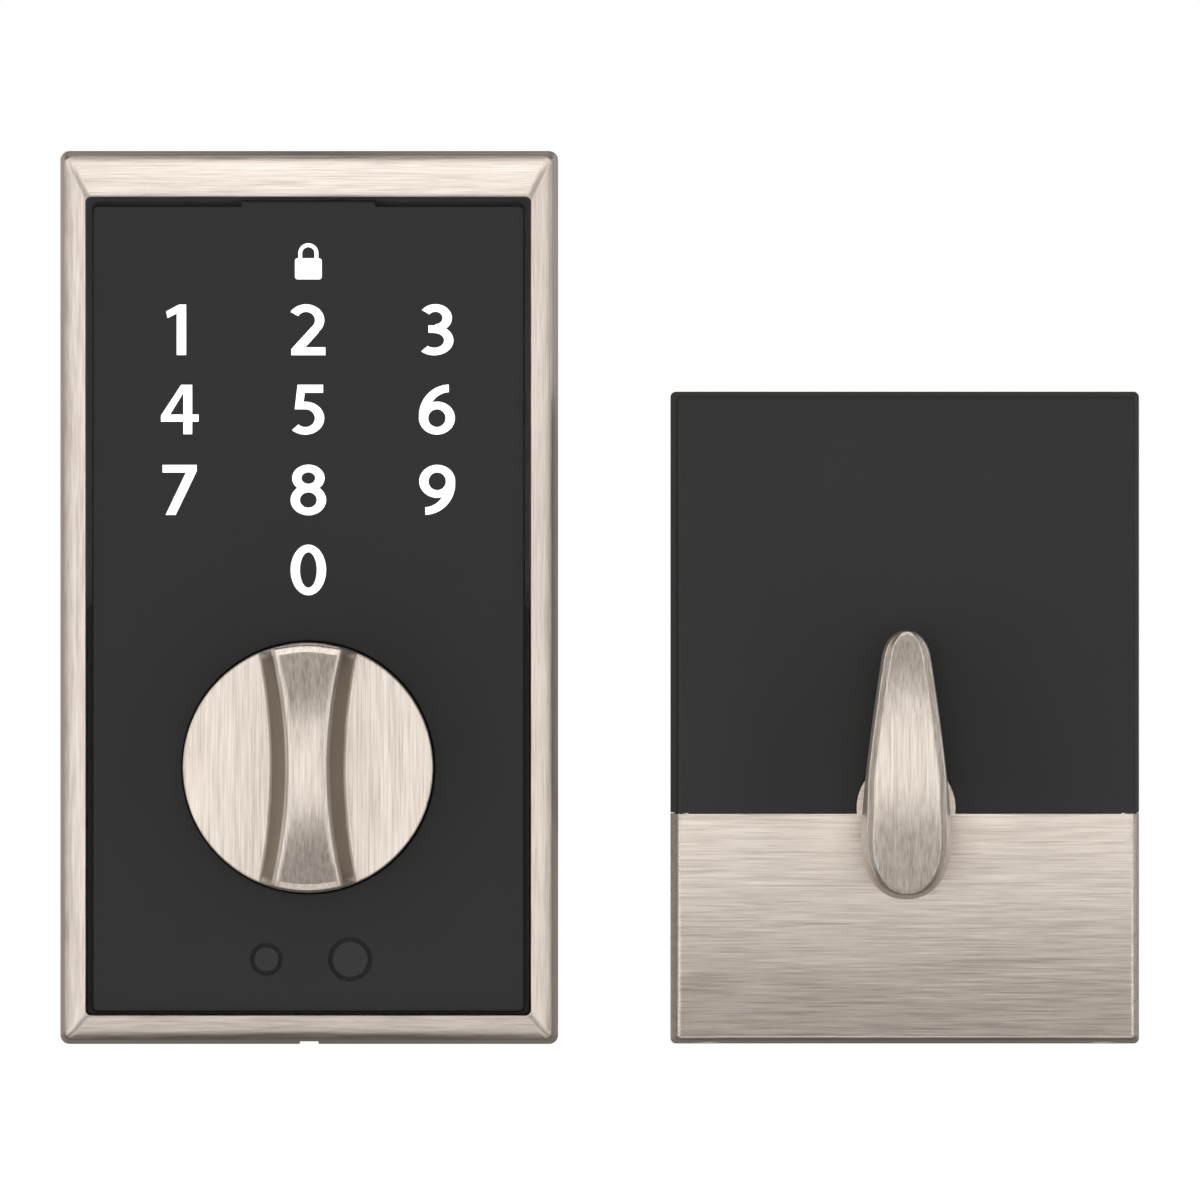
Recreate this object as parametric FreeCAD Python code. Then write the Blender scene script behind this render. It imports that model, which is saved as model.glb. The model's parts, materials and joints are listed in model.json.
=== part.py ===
import FreeCAD, Part
import math
import os

from FreeCAD import Vector

# Keypad deadbolt: outside unit and inside unit side by side, both facing -Y, door faces at y = 0.
# Millimetres. The origin is where the outside knob's axis meets the door face, +Z is up.

# ------------------------------------------------------------------ driving dimensions
# outside unit
OUT_X = 35.4            # half width
OUT_LOW = -39.4
OUT_HIGH = 87.6
OUT_CORNER = 1.3
GASKET = 1.2            # thickness of the foam against the door
DRAFT = 0.8             # how far the walls lean in from back to front
RIM_Y = -20.2           # front edge of the outer walls
BAR_Y = -21.3           # proud inner edge of the picture frame
WALL = 2.2
WINDOW_X = 31.55
WINDOW_LOW = -35.12
WINDOW_HIGH = 80.83
WINDOW_CORNER = 0.8
FRONT_WALL = 2.4        # thickness of the bars behind their outer edge
WEEP_X = 1.3            # half width of the drain notch in the bottom edge
WEEP_DEPTH = 0.5
WEEP_FRONT = -12.0

# touch panel
PANEL_FRONT = -19.8
PANEL_BACK = -17.6
PANEL_X = 30.65
PANEL_LOW = -34.63
PANEL_HIGH = 79.62
TAB_X = 9.57
TAB_HIGH = 80.4
PANEL_EDGE = 0.3        # round of the panel's front edges
KNOB_HOLE_R = 18.05
KEY_COLUMNS = (-18.25, 0.0, 18.25)
KEY_ROWS = (62.05, 50.75, 39.35, 28.0)
STEM = 1.32             # width of an upright stroke of a numeral
STROKE = 1.08           # width of a level stroke
INLAY = 0.6             # depth of the numerals in the panel
CONTACT_X = 5.93
CONTACT_Z = -27.2
SMALL_CONTACT_R = 1.7
LARGE_CONTACT_R = 2.49
CONTACT_GAP = 0.62

# chassis behind the panel
LEDGE_X = 31.3
LEDGE_HIGH = 23.0
CHASSIS_LOW = -34.95
CHASSIS_HIGH = 80.2
CHASSIS_BACK = -3.6
WEB_FRONT = -15.6
WEB_BACK = -13.4
BOARD_X = 28.2
BOARD_LOW = 23.4
BOARD_HIGH = 77.6
GUIDE_BACK = -14.9
BOARD_FRONT = -14.8
BOARD_BACK = -13.2

# turn knob and its shaft
KNOB_R = 17.7
KNOB_BACK = -17.1
KNOB_RIM = 0.8
KNOB_WALL = 2.1
WING_Y = -31.0          # level face on both sides of the grip
WING_BACK = -28.5
CROWN_Y = -38.0
CROWN_R = 88.0          # arc of the grip's crown along Z
GRIP_FOOT = (4.8, 6.79)     # half width of the grip on the face: in the middle, at the ends
GRIP_TOP = (3.12, 5.51)     # the same at the crown
SHAFT_R = 5.0
SHAFT_END = -29.0
RUNNING = 0.05          # radial clearance of a shaft in its bush
BUSH_R = 7.0

# clutch
WHEEL_R = 12.5
WHEEL_FRONT = -8.0
WHEEL_BACK = -5.5
NOTCHES = 12
DOG_PITCH_R = 9.6
DOG_R = 1.5
MOTOR_Z = -17.3
MOTOR_R = 4.2
PLATE_FRONT = 2.2
PLATE_BACK = 3.4
GUIDE_PIN = 11.5

# boss in the door's cross bore
BOSS_R = 25.4
BOSS_BORE_R = 23.0
BOSS_END = 9.0
BOSS_FLOOR = 6.8
BOLT_SPACING = 38.1
BOLT_R = 2.4
BOLT_COLLAR_R = 2.65
BOLT_END = 36.0
POST_R = 3.5
POST_END = 16.0
HUB_R = 6.0
TAIL_END = 54.0
TAIL_X = 3.6
TAIL_Z = 1.3

# inside unit, measured from its thumbturn axis
IN_CX = 84.7
IN_CZ = -5.75
IN_X = 33.33
IN_LOW = -33.6
IN_HIGH = 59.13
IN_BACK = -0.6
IN_FRONT = -26.0
IN_WALL = 1.8
COVER_EDGE = 0.8        # round of the covers' corners and front edges
FRONT_R = 380.0         # arc of the front along Z, about the middle of its height
SPLIT = -0.75
SEAM = 0.12
ROSE_R = 7.0
NOTCH_R = 7.25
TOWER_FRONT = -22.6     # front of the thumbturn's bearing tower
CHASSIS_Y = -4.2
PLATE_Y = -1.5
IN_BOARD_FRONT = -8.0
IN_BOARD_BACK = -6.4
LEVER_BACK = -29.5
LEVER_CROWN = -46.0
LEVER_CROWN_R = 110.0
LEVER_CROWN_Z = 7.7
LEVER_TOP = 25.3
LEVER_FOOT = -12.86
LEVER_SOCKET = -36.0
HUB_HOLE_R = 5.5
COVER_SCREW_X = (-28.0, 28.0)
COVER_SCREW_Y = -9.0
CHASSIS_CORNERS = [(side * 24.0, z) for side in (-1, 1) for z in (-10.0, 53.6)]
STANDOFFS = [(side * 22.0, z) for side in (-1, 1) for z in (-28.5, -16.5)]
CABLE_HOLE = (4.0, 17.0)    # radius, z
BATTERY = (48.5, 17.5, 26.5)
BATTERY_X = -27.5
BATTERY_BACK = -4.6
BATTERY_Z = 23.6


# ------------------------------------------------------------------ shapes
def box(x0, x1, y0, y1, z0, z1):
    return Part.makeBox(x1 - x0, y1 - y0, z1 - z0, Vector(x0, y0, z0))


def rod(r, x, z, y0, y1):
    """Round bar along Y."""
    return Part.makeCylinder(r, y1 - y0, Vector(x, y0, z), Vector(0, 1, 0))


def rod_up(r, x, y, z0, z1):
    """Round bar along Z."""
    return Part.makeCylinder(r, z1 - z0, Vector(x, y, z0), Vector(0, 0, 1))


def rod_across(r, y, z, x0, x1):
    """Round bar along X."""
    return Part.makeCylinder(r, x1 - x0, Vector(x0, y, z), Vector(1, 0, 0))


def ring(r_out, r_in, x, z, y0, y1):
    """Round tube along Y."""
    return rod(r_out, x, z, y0, y1).cut(rod(r_in, x, z, y0 - 1, y1 + 1))


def rounded_wire(x0, x1, z0, z1, r, y):
    """Closed outline of a rectangle with round corners, in the plane at y."""
    corners = [(x1 - r, z1 - r, 0), (x0 + r, z1 - r, 90), (x0 + r, z0 + r, 180), (x1 - r, z0 + r, 270)]
    arcs = []
    for cx, cz, start in corners:
        turns = [math.radians(start + step) for step in (0, 45, 90)]
        arcs.append([Vector(cx + r * math.cos(t), y, cz + r * math.sin(t)) for t in turns])
    edges = []
    for arc, following in zip(arcs, arcs[1:] + arcs[:1]):
        edges.append(Part.Arc(*arc).toShape())
        edges.append(Part.LineSegment(arc[2], following[0]).toShape())
    return Part.Wire(edges)


def plate(x0, x1, z0, z1, r, y0, y1):
    """Flat plate with round corners, from y0 to y1."""
    return Part.Face(rounded_wire(x0, x1, z0, z1, r, y0)).extrude(Vector(0, y1 - y0, 0))


def prism(points, y0, y1):
    """Outline of straight sides in X and Z, from y0 to y1."""
    corners = [Vector(x, y0, z) for x, z in points]
    return Part.Face(Part.makePolygon(corners + corners[:1])).extrude(Vector(0, y1 - y0, 0))


def turned(points, x=0.0, z=0.0):
    """Solid of revolution about a line along Y. Points are (radius, y)."""
    corners = [Vector(x + r, y, z) for r, y in points]
    outline = Part.Face(Part.makePolygon(corners + corners[:1]))
    return outline.revolve(Vector(x, 0, z), Vector(0, 1, 0), 360)


def joined(shapes):
    """One solid out of shapes that overlap."""
    return shapes[0].fuse(shapes[1:]).removeSplitter()


def group(shapes):
    return Part.makeCompound(shapes)


def inside_at(shape):
    """Moves a shape drawn about the thumbturn axis to the inside unit."""
    moved = shape.copy()
    moved.translate(Vector(IN_CX, 0, IN_CZ))
    return moved


# ------------------------------------------------------------------ numerals
def ellipse_face(cx, cz, rx, rz, y):
    tips = [Vector(cx + rx, y, cz), Vector(cx, y, cz + rz)]
    if rz > rx:
        tips.reverse()
    return Part.Face(Part.Wire(Part.Ellipse(tips[0], tips[1], Vector(cx, y, cz)).toShape()))


def bow(cx, cz, rx, rz, start=0, end=360):
    """Curved stroke on an ellipse, from start to end degrees, anticlockwise from +X."""
    depth = Vector(0, INLAY, 0)
    outer = ellipse_face(cx, cz, rx + STEM / 2, rz + STROKE / 2, PANEL_FRONT).extrude(depth)
    inner = ellipse_face(cx, cz, rx - STEM / 2, rz - STROKE / 2, PANEL_FRONT).extrude(depth)
    stroke = outer.cut(inner)
    if end - start >= 360:
        return stroke
    reach = 20.0
    steps = max(2, math.ceil((end - start) / 45))
    turns = [math.radians(start + (end - start) * i / steps) for i in range(steps + 1)]
    fan = [(cx, cz)] + [(cx + reach * math.cos(t), cz + reach * math.sin(t)) for t in turns]
    return stroke.common(prism(fan, PANEL_FRONT, PANEL_FRONT + INLAY))


def flat(*points):
    """Straight-sided stroke."""
    return prism(points, PANEL_FRONT, PANEL_FRONT + INLAY)


def numeral_shapes():
    """The ten numerals, each about the middle of its own height and width."""
    one = [flat((1.42, 3.58), (1.42, -3.58), (0.09, -3.58), (0.09, 2.32), (-1.21, 1.65), (-1.42, 2.62),
                (0.43, 3.58))]
    two = [bow(-0.33, 1.36, 1.93, 1.72, -45, 152),
           flat((1.50, -0.35), (-0.43, -2.48), (2.42, -2.48), (2.42, -3.6), (-2.42, -3.6),
                (-2.42, -2.75), (0.56, 0.52))]
    three = [bow(-0.23, 1.68, 1.67, 1.42, -90, 150), bow(-0.40, -1.50, 2.06, 1.58, -140, 90),
             flat((-1.23, 0.63), (0.0, 0.63), (0.0, -0.42), (-1.23, -0.42))]
    four = [flat((0.22, 3.5), (1.78, 3.5), (1.78, -3.5), (0.53, -3.5), (0.53, 2.38), (-1.34, -0.71),
                 (-2.65, -0.86)),
            flat((2.69, -0.71), (2.69, -1.72), (-2.65, -1.72), (-2.65, -0.86), (-1.36, -0.71))]
    five = [bow(-0.44, -1.23, 2.03, 1.80, -138, 90),
            flat((-1.53, 3.51), (2.09, 3.51), (2.09, 2.37), (-0.51, 2.37), (-0.66, 1.11), (-0.44, 1.11),
                 (-0.44, 0.03), (-1.93, 0.03))]
    six = [bow(-0.02, -1.22, 1.89, 1.80), bow(1.80, -0.85, 3.71, 3.85, 92, 186)]
    seven = [flat((-2.42, 3.55), (2.42, 3.55), (2.42, 2.66), (-0.56, -3.55), (-1.99, -3.55), (0.89, 2.46),
                  (-2.42, 2.46))]
    eight = [bow(0, 1.68, 1.64, 1.36), bow(0, -1.43, 1.86, 1.63)]
    zero = [bow(0, 0, 1.86, 3.05)]
    nine = [stroke.copy() for stroke in six]
    for stroke in nine:
        stroke.rotate(Vector(0, 0, 0), Vector(0, 1, 0), 180)
    return [joined(strokes) if len(strokes) > 1 else strokes[0]
            for strokes in (zero, one, two, three, four, five, six, seven, eight, nine)]


def key_numerals():
    """Keys 1 to 9 in three rows of three, and 0 under the middle column."""
    one_offset = -0.5
    shapes = numeral_shapes()
    placed = []
    for digit in range(1, 10):
        row, column = divmod(digit - 1, 3)
        x = KEY_COLUMNS[column] + (one_offset if digit == 1 else 0)
        placed.append((shapes[digit], x, KEY_ROWS[row]))
    placed.append((shapes[0], KEY_COLUMNS[1], KEY_ROWS[3]))
    for shape, x, z in placed:
        shape.translate(Vector(x, 0, z))
    return group([solid for shape, x, z in placed for solid in shape.Solids])


def lock_symbol():
    """Plain closed padlock above the keys: a body and a bow."""
    x, z = 0.0, 72.2
    half_w, body_h, bow_r, line = 1.9, 3.0, 1.15, 0.55
    front, back = PANEL_FRONT, PANEL_FRONT + INLAY
    body = plate(x - half_w, x + half_w, z - body_h, z, 0.4, front, back)
    bow_top = ring(bow_r + line / 2, bow_r - line / 2, x, z + 0.7, front, back)
    bow_top = bow_top.common(box(x - 3, x + 3, front, back, z + 0.7, z + 3))
    legs = [box(x + side * bow_r - line / 2, x + side * bow_r + line / 2, front, back, z - 0.2, z + 0.7)
            for side in (-1, 1)]
    return joined([body, bow_top] + legs)


# ------------------------------------------------------------------ outside unit: case and panel
def top_screws():
    """Places of the two screws that hold the rear housing to the case."""
    return [(side * 22.0, 82.7) for side in (-1, 1)]


def outside_escutcheon():
    """Hollow cast case: leaning walls, sloped picture-frame bars, open window and open back."""
    x, low, high = OUT_X, OUT_LOW, OUT_HIGH
    back = rounded_wire(-x, x, low, high, OUT_CORNER, -GASKET)
    rim = rounded_wire(-x + DRAFT, x - DRAFT, low + DRAFT, high - DRAFT, OUT_CORNER, RIM_Y)
    inner = rounded_wire(-WINDOW_X, WINDOW_X, WINDOW_LOW, WINDOW_HIGH, WINDOW_CORNER, BAR_Y)
    walls = Part.makeLoft([back, rim], True)
    bars = Part.makeLoft([rim, inner], True)
    window = plate(-WINDOW_X, WINDOW_X, WINDOW_LOW, WINDOW_HIGH, WINDOW_CORNER, BAR_Y - 1, 0)
    hollow = plate(-x + WALL, x - WALL, low + WALL, high - WALL, OUT_CORNER, RIM_Y + FRONT_WALL, 0)
    case = joined([walls, bars]).cut(window).cut(hollow)
    for x, z in top_screws():
        boss = joined([rod(1.8, x, z, RIM_Y + 1, CHASSIS_BACK),
                       box(x - 1.6, x + 1.6, RIM_Y + 1, CHASSIS_BACK, z, high - 1.5)])
        case = joined([case, boss]).cut(rod(0.9, x, z, -12, 0))
    return case.cut(box(-WEEP_X, WEEP_X, WEEP_FRONT, 0, low - 1, low + WEEP_DEPTH))


def touch_panel(inlays):
    """Black panel with a tab in the middle of its top edge, round hole for the knob."""
    sheet = plate(-PANEL_X, PANEL_X, PANEL_LOW, PANEL_HIGH, 0.8, PANEL_FRONT, PANEL_BACK)
    tab = box(-TAB_X, TAB_X, PANEL_FRONT, PANEL_BACK, PANEL_HIGH - 1, TAB_HIGH)
    panel = joined([sheet, tab])
    front_edges = [edge for edge in panel.Edges
                   if all(abs(v.Point.y - PANEL_FRONT) < 1e-6 for v in edge.Vertexes)]
    panel = panel.makeFillet(PANEL_EDGE, front_edges)
    for r, x, z in ((KNOB_HOLE_R, 0, 0), (SMALL_CONTACT_R + CONTACT_GAP, -CONTACT_X, CONTACT_Z),
                    (LARGE_CONTACT_R + CONTACT_GAP, CONTACT_X, CONTACT_Z)):
        panel = panel.cut(rod(r, x, z, PANEL_FRONT - 1, PANEL_BACK + 1))
    return panel.cut(inlays)


def jump_contact(r, x):
    """Contact button for an emergency battery: button, flange behind the panel, stud."""
    flange_r = r + 1.35
    return joined([rod(r, x, CONTACT_Z, PANEL_FRONT + 0.15, WEB_FRONT),
                   rod(flange_r, x, CONTACT_Z, PANEL_BACK, WEB_FRONT),
                   rod(0.9, x, CONTACT_Z, WEB_FRONT, -11.6)])


def contact_tags():
    """Solder tags on the studs of the two contacts."""
    tags = []
    for x in (-CONTACT_X, CONTACT_X):
        tag = box(x - 1.6, x + 1.6, -12.6, -12.1, CONTACT_Z - 1.6, CONTACT_Z + 4.4)
        tags.append(tag.cut(rod(0.9, x, CONTACT_Z, -14, -11)))
    return group(tags)


def screw_corners():
    """Places of the four screws that hold the chassis to the rear housing."""
    return [(side * 26.8, z) for side in (-1, 1) for z in (-31.0, 76.0)]


def panel_chassis():
    """Black moulded frame behind the panel, with a web that carries the knob's bush."""
    lower = plate(-LEDGE_X, LEDGE_X, CHASSIS_LOW, LEDGE_HIGH, 0.8, PANEL_BACK, CHASSIS_BACK)
    upper = plate(-PANEL_X, PANEL_X, 10, CHASSIS_HIGH, 0.8, PANEL_BACK, CHASSIS_BACK)
    frame = joined([lower, upper])
    frame = frame.cut(box(-28.7, 28.7, PANEL_BACK - 1, 0, 22.8, 78.2))
    frame = frame.cut(box(-29.5, 29.5, WEB_BACK, 0, -33.2, 20.8))
    frame = frame.cut(box(-29.5, 29.5, PANEL_BACK - 1, WEB_FRONT, -33.2, 20.8))
    rests = [box(min(side * 24.6, side * 29.0), max(side * 24.6, side * 29.0), BOARD_BACK, CHASSIS_BACK,
                 z - 1.5, z + 1.5) for side in (-1, 1) for z in (28.0, 52.0)]
    blocks = [box(min(side * 24.4, side * 29.6), max(side * 24.4, side * 29.6), BOARD_BACK, CHASSIS_BACK,
                  z - 2.4, z + 2.4) for side in (-1, 1) for z in (-31.0, 76.0)]
    frame = joined([frame] + rests + blocks)
    for x, z in screw_corners():
        frame = frame.cut(rod(1.2, x, z, -11.5, 0))
    for x in (-CONTACT_X, CONTACT_X):
        frame = frame.cut(rod(0.9, x, CONTACT_Z, -18, -10))
    return frame.cut(rod(BUSH_R, 0, 0, -18, -10))


def led_places():
    columns = [(x, z) for z in KEY_ROWS[:3] for x in KEY_COLUMNS]
    return columns + [(KEY_COLUMNS[1], KEY_ROWS[3])]


def led(x, z):
    return box(x - 1.4, x + 1.4, -16.0, BOARD_FRONT, z - 1.4, z + 1.4)


def light_guide():
    """Clear diffuser behind the numerals, with a pocket over each lamp."""
    guide = plate(-BOARD_X, BOARD_X, BOARD_LOW, BOARD_HIGH, 1.0, PANEL_BACK, GUIDE_BACK)
    for x, z in led_places():
        guide = guide.cut(box(x - 1.8, x + 1.8, -16.4, -14, z - 1.8, z + 1.8))
    return guide


def keypad_chips():
    """Touch controller, flash, connector and small parts on the back of the keypad board."""
    chips = [(-14, -4, 42, 52, 1.6), (3, 9, 30, 36, 1.2), (-22, -19, 60, 66, 1.0), (6, 9, 64, 68, 1.4),
             (-6, 8, 70, 74.5, 3.8)]
    return group([box(x0, x1, BOARD_BACK, BOARD_BACK + high, z0, z1) for x0, x1, z0, z1, high in chips])


def buzzer():
    body = rod(6.0, 18.5, 58.0, BOARD_BACK, -10.2)
    return body.cut(rod(1.0, 18.5, 58.0, -11.0, -9.0))


# ------------------------------------------------------------------ turn knob
def waist_wire(middle, end, half_length, y):
    """Outline of the grip at one height: two inward arcs joined by straight ends."""
    sides = []
    for side in (-1, 1):
        points = [Vector(side * end, y, side * half_length), Vector(side * middle, y, 0),
                  Vector(side * end, y, -side * half_length)]
        sides.append(points)
    edges = []
    for points, following in zip(sides, sides[1:] + sides[:1]):
        edges.append(Part.Arc(*points).toShape())
        edges.append(Part.LineSegment(points[2], following[0]).toShape())
    return Part.Wire(edges)


def turn_knob():
    """Round cup with a waisted grip across its face; the grip's crown is an arc along Z."""
    sleeve_r, inner_r, bevel = 8.0, KNOB_R - KNOB_WALL, KNOB_RIM * 0.3
    cup = turned([(SHAFT_R, KNOB_BACK), (sleeve_r, KNOB_BACK), (sleeve_r, WING_BACK), (inner_r, WING_BACK),
                  (inner_r, KNOB_BACK), (KNOB_R, KNOB_BACK), (KNOB_R, WING_Y + KNOB_RIM),
                  (KNOB_R - bevel, WING_Y + bevel), (KNOB_R - KNOB_RIM, WING_Y), (0, WING_Y),
                  (0, SHAFT_END), (SHAFT_R, SHAFT_END)])
    length = KNOB_R + 0.1
    grip = Part.makeLoft([waist_wire(*GRIP_FOOT, length, WING_Y + 0.4),
                          waist_wire(*GRIP_TOP, length, CROWN_Y - 0.4)], True)
    crown = rod_across(CROWN_R, CROWN_Y + CROWN_R, 0, -KNOB_R, KNOB_R)
    grip = grip.common(crown).common(rod(KNOB_R - 0.15, 0, 0, CROWN_Y - 1, WING_Y + 1))
    return joined([cup, grip])


def knob_shaft():
    """Steel shaft with a groove for the retaining ring and a flat for the drive wheel."""
    shaft = rod(SHAFT_R, 0, 0, SHAFT_END, WHEEL_BACK)
    groove = ring(SHAFT_R + 1, 4.5, 0, 0, -11.8, -11.0)
    flat_side = box(-6, 6, -10.6, WHEEL_BACK + 1, -6, -4.0)
    return shaft.cut(groove).cut(flat_side)


def knob_bushing():
    return turned([(SHAFT_R + RUNNING, -16.8), (9.0, -16.8), (9.0, WEB_FRONT), (BUSH_R, WEB_FRONT),
                   (BUSH_R, -13.0), (SHAFT_R + RUNNING, -13.0)])


def knob_spring_washer():
    """Dished washer that takes up the end play of the knob."""
    return turned([(5.2, -12.4), (5.2, -11.95), (8.0, -12.4), (8.0, -12.85)])


def knob_retaining_ring():
    return ring(7.2, 4.5, 0, 0, -11.8, -11.0).cut(box(-2.4, 2.4, -13, -10, -8, 0))


def drive_wheel():
    """Disc on the knob's shaft with a ring of holes that the dog pin enters."""
    wheel = joined([rod(WHEEL_R, 0, 0, WHEEL_FRONT, WHEEL_BACK), rod(7.5, 0, 0, -10.6, WHEEL_FRONT)])
    bore = rod(SHAFT_R, 0, 0, -12, 0).cut(box(-6, 6, -13, 1, -6, -4.0))
    wheel = wheel.cut(bore)
    for i in range(NOTCHES):
        turn = 2 * math.pi * i / NOTCHES
        x, z = DOG_PITCH_R * math.sin(turn), DOG_PITCH_R * math.cos(turn)
        wheel = wheel.cut(rod(DOG_R + 0.3, x, z, -9, -5))
    return wheel


# ------------------------------------------------------------------ clutch and tailpiece
def clutch_motor():
    return rod(MOTOR_R, 0, MOTOR_Z, -13.0, -3.2).cut(rod(0.6, 0, MOTOR_Z, -6.2, -3))


def motor_bracket():
    """Saddle that clamps the motor to the chassis web."""
    foot = box(-11, 11, WEB_BACK, -12.4, MOTOR_Z - 2, MOTOR_Z + 2)
    saddle = joined([foot, rod(MOTOR_R + 1, 0, MOTOR_Z, WEB_BACK, -9.6)])
    saddle = saddle.cut(rod(MOTOR_R, 0, MOTOR_Z, -13.0, -9))
    for x in (-8.5, 8.5):
        saddle = saddle.cut(rod(0.9, x, MOTOR_Z, -14, -12))
    return saddle


def clutch_screw():
    """Screw on the motor's shaft; it moves the clutch plate 1 mm for each turn."""
    return joined([rod(0.5, 0, MOTOR_Z, -6.0, -2.9), rod(1.5, 0, MOTOR_Z, -2.9, 5.2)])


def clutch_plate():
    """Ring round the hub with a nut on the screw and two ears on guide pins."""
    body = [rod(13.4, 0, 0, PLATE_FRONT, PLATE_BACK),
            box(-3, 3, PLATE_FRONT, PLATE_BACK, MOTOR_Z - 3, -10),
            rod(3.2, 0, MOTOR_Z, 1.2, 4.6)]
    body += [rod(3.4, x, GUIDE_PIN, PLATE_FRONT, PLATE_BACK) for x in (-GUIDE_PIN, GUIDE_PIN)]
    whole = joined(body).cut(rod(7.4, 0, 0, 0, 6)).cut(rod(1.58, 0, MOTOR_Z, 0, 6))
    for x in (-GUIDE_PIN, GUIDE_PIN):
        whole = whole.cut(rod(1.1, x, GUIDE_PIN, 0, 6))
    return whole


def dog_pin():
    """Pin that slides in the hub and locks it to the drive wheel."""
    return joined([rod(DOG_R, 0, DOG_PITCH_R, -4.9, 1.5), rod(2.2, 0, DOG_PITCH_R, 1.0, 2.0)])


def dog_pin_spring():
    """Coil spring of square wire under the pin's head."""
    half_wire, coil_r, pitch, low, high = 0.15, 1.85, 0.62, -1.2, 0.8
    helix = Part.makeHelix(pitch, high - low, coil_r)
    corners = [Vector(coil_r + half_wire * a, 0, half_wire * b) for a, b in ((-1, -1), (1, -1), (1, 1), (-1, 1))]
    section = Part.makePolygon(corners + corners[:1])
    spring = Part.Wire(helix).makePipeShell([section], True, True)
    spring.rotate(Vector(0, 0, 0), Vector(1, 0, 0), -90)
    spring.translate(Vector(0, low, DOG_PITCH_R))
    return spring


def tailpiece_hub():
    """Flanged hub that carries the dog pin and the tailpiece."""
    hub = turned([(0, -4.3), (12.0, -4.3), (12.0, -1.4), (7.0, -1.4), (7.0, 6.4), (HUB_R, 6.4), (HUB_R, 9.8),
                  (0, 9.8)])
    hub = hub.cut(rod(DOG_R + RUNNING, 0, DOG_PITCH_R, -6, 0))
    hub = hub.cut(box(-TAIL_X, TAIL_X, 2.0, 11, -TAIL_Z, TAIL_Z))
    return hub.cut(tailpiece_pin())


def tailpiece():
    """Flat bar that reaches through the bolt to the inside unit, with a pointed end."""
    tip = 3.0
    bar = [(2.0, -TAIL_X), (TAIL_END - tip, -TAIL_X), (TAIL_END, -1.4), (TAIL_END, 1.4),
           (TAIL_END - tip, TAIL_X), (2.0, TAIL_X)]
    corners = [Vector(x, y, -TAIL_Z) for y, x in bar]
    blade = Part.Face(Part.makePolygon(corners + corners[:1])).extrude(Vector(0, 0, 2 * TAIL_Z))
    return blade.cut(tailpiece_pin())


def tailpiece_pin():
    """Cross pin that holds the tailpiece in its hub."""
    return Part.makeCylinder(0.8, 11.6, Vector(0, 4.6, -5.8), Vector(0, 0, 1))


# ------------------------------------------------------------------ back of the outside unit
def bolt_places():
    return [(side * BOLT_SPACING / 2, 0.0) for side in (-1, 1)]


def rear_housing():
    """Plate that closes the case, with the round boss that fills the door's cross bore."""
    back = plate(-32.8, 32.8, -36.8, 85.0, 1.5, CHASSIS_BACK, -GASKET)
    boss = joined([back, rod(BOSS_R + 0.5, 0, 0, CHASSIS_BACK, 0), rod(BOSS_R, 0, 0, CHASSIS_BACK, BOSS_END)])
    boss = boss.cut(rod(BOSS_BORE_R, 0, 0, CHASSIS_BACK - 1, BOSS_FLOOR))
    boss = boss.cut(rod(HUB_R + RUNNING, 0, 0, 0, 12))
    pins = [rod(1.0, x, GUIDE_PIN, -1.0, BOSS_FLOOR + 0.5) for x in (-GUIDE_PIN, GUIDE_PIN)]
    boss = joined([boss] + pins)
    for x, z in bolt_places():
        boss = boss.cut(rod(POST_R, x, z, 0, 12))
    boss = boss.cut(rod(2.8, 0, 17.6, 0, 12))
    for x, z in screw_corners() + top_screws():
        boss = boss.cut(rod(1.2, x, z, -5, 0)).cut(rod(1.9, x, z, -2.3, 0))
    return boss


def mounting_posts():
    """Tapped posts that the through bolts screw into."""
    posts = []
    for x, z in bolt_places():
        post = joined([rod(POST_R, x, z, -1.0, POST_END), rod(3.9, x, z, 5.4, BOSS_FLOOR)])
        posts.append(post.cut(rod(BOLT_R, x, z, -2, POST_END + 1)))
    return group(posts)


def housing_screws():
    screws = []
    for thread_r, places in ((1.2, screw_corners()), (0.9, top_screws())):
        for x, z in places:
            screws.append(joined([rod(thread_r, x, z, -9.5, CHASSIS_BACK), rod(1.2, x, z, CHASSIS_BACK, -2.0),
                                  rod(1.8, x, z, -2.3, -1.3)]))
    return group(screws)


def cable_grommet():
    return turned([(2.1, 6.0), (3.6, 6.0), (3.6, BOSS_FLOOR), (2.8, BOSS_FLOOR), (2.8, BOSS_END),
                   (3.6, BOSS_END), (3.6, 9.8), (2.1, 9.8)], 0, 17.6)


def door_gasket():
    foam = plate(-34.2, 34.2, -38.2, 86.4, 1.5, -GASKET, 0)
    return foam.cut(rod(BOSS_R + 0.5, 0, 0, -3, 2))


# ------------------------------------------------------------------ inside unit: covers
def level_rectangle(x, low, high, y):
    """Sharp rectangle in the plane at y, as wide to both sides."""
    corners = [Vector(-x, y, low), Vector(x, y, low), Vector(x, y, high), Vector(-x, y, high)]
    return Part.makePolygon(corners + corners[:1])


def inside_envelope(inset):
    """Outer form of both covers together, drawn in by inset. The front is an arc along Z."""
    x, low, high = IN_X - inset, IN_LOW + inset, IN_HIGH - inset
    front = level_rectangle(x - DRAFT, low + DRAFT, high - DRAFT, IN_FRONT + inset)
    form = Part.makeLoft([level_rectangle(x, low, high, IN_BACK), front], True)
    form = form.common(rod_across(FRONT_R - inset, IN_FRONT + FRONT_R, (IN_LOW + IN_HIGH) / 2, -IN_X, IN_X))
    form = form.removeSplitter().Solids[0]
    if inset:
        return form
    back_edges = [edge for edge in form.Edges if edge.BoundBox.YMin > IN_BACK - 1]
    return form.makeFillet(COVER_EDGE, [edge for edge in form.Edges
                                        if not any(edge.isSame(other) for other in back_edges)])


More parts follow.
